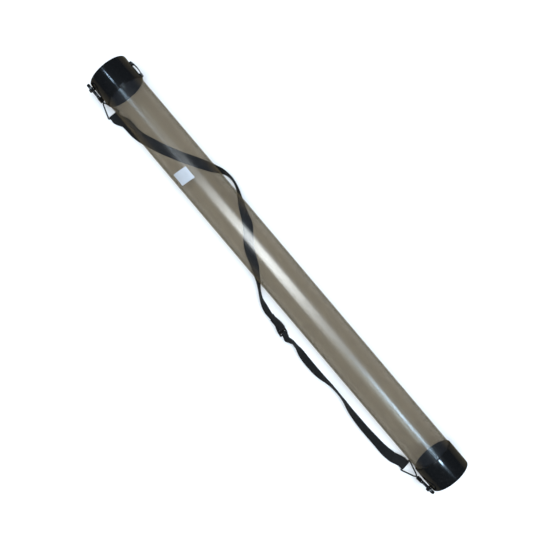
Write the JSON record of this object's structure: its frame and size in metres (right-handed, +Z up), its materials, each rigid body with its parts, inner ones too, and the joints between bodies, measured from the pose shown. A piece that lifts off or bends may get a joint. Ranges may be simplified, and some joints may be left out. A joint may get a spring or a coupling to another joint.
{
  "type": "tennis ball holder",
  "caption": "Long clear tube that picks up and carries tennis balls: black collars, a sprung ball catch at the open mouth and a webbing shoulder strap on snap hooks.",
  "frame": {"origin": "on the floor, under the middle of the rigid tube with its collars, catch and eyelets", "axes": "+X along the tube towards the closed end cap, +Y towards the ball catch's side, +Z up"},
  "size_m": [0.9477, 0.1208, 0.0789],
  "materials": {
    "clear_plastic": "clear, smoke-brown tint, glossy",
    "black_plastic": "gloss black",
    "hook_plastic": "semi-gloss black",
    "dark_metal": "black coating",
    "pin_steel": "plain steel",
    "label_paper": "blank, satin coated",
    "webbing": "black woven nylon"
  },
  "bodies": {
    "holder": {"tube": "clear_plastic", "mouth_collar": "black_plastic", "end_cap": "black_plastic", "catch_pin": "pin_steel", "catch_spring": "pin_steel", "tube_label": "label_paper", "top_hook_swivel": "dark_metal", "bottom_hook_swivel": "dark_metal", "strap_slider": "hook_plastic", "strap_upper": "webbing", "strap_lower": "webbing"},
    "catch": {"ball_catch": "black_plastic"},
    "top_hook": {"top_hook_body": "hook_plastic", "top_gate_pin": "pin_steel", "top_gate_spring": "pin_steel"},
    "top_gate": {"top_hook_gate": "hook_plastic"},
    "bottom_hook": {"bottom_hook_body": "hook_plastic", "bottom_gate_pin": "pin_steel", "bottom_gate_spring": "pin_steel"},
    "bottom_gate": {"bottom_hook_gate": "hook_plastic"}
  },
  "joints": [
    {"name": "catch_pivot", "type": "hinge", "parent": "holder", "child": "catch", "pos_m": [-0.4292, 0.04389, 0.03945], "axis": [0, 0, -1], "range_deg": [0, 18], "stiffness_Nm_per_rad": 0.03, "springref_deg": -11.46},
    {"name": "top_swivel", "type": "hinge", "parent": "holder", "child": "top_hook", "pos_m": [-0.44113, -0.04115, 0.02924], "axis": [0.7343, -0.0107, -0.6788], "range_deg": [-4, 3]},
    {"name": "top_gate_pivot", "type": "hinge", "parent": "top_hook", "child": "top_gate", "pos_m": [-0.44694, -0.04107, 0.0421], "axis": [-0.0145, -0.9999, 0], "range_deg": [0, 22], "stiffness_Nm_per_rad": 0.01, "springref_deg": -17.19},
    {"name": "bottom_swivel", "type": "hinge", "parent": "holder", "child": "bottom_hook", "pos_m": [0.44139, -0.04431, 0.02924], "axis": [-0.7264, -0.1076, -0.6788], "range_deg": [-3, 4]},
    {"name": "bottom_gate_pivot", "type": "hinge", "parent": "bottom_hook", "child": "bottom_gate", "pos_m": [0.44714, -0.04345, 0.0421], "axis": [-0.1466, 0.9892, 0], "range_deg": [0, 22], "stiffness_Nm_per_rad": 0.01, "springref_deg": -17.19}
  ]
}
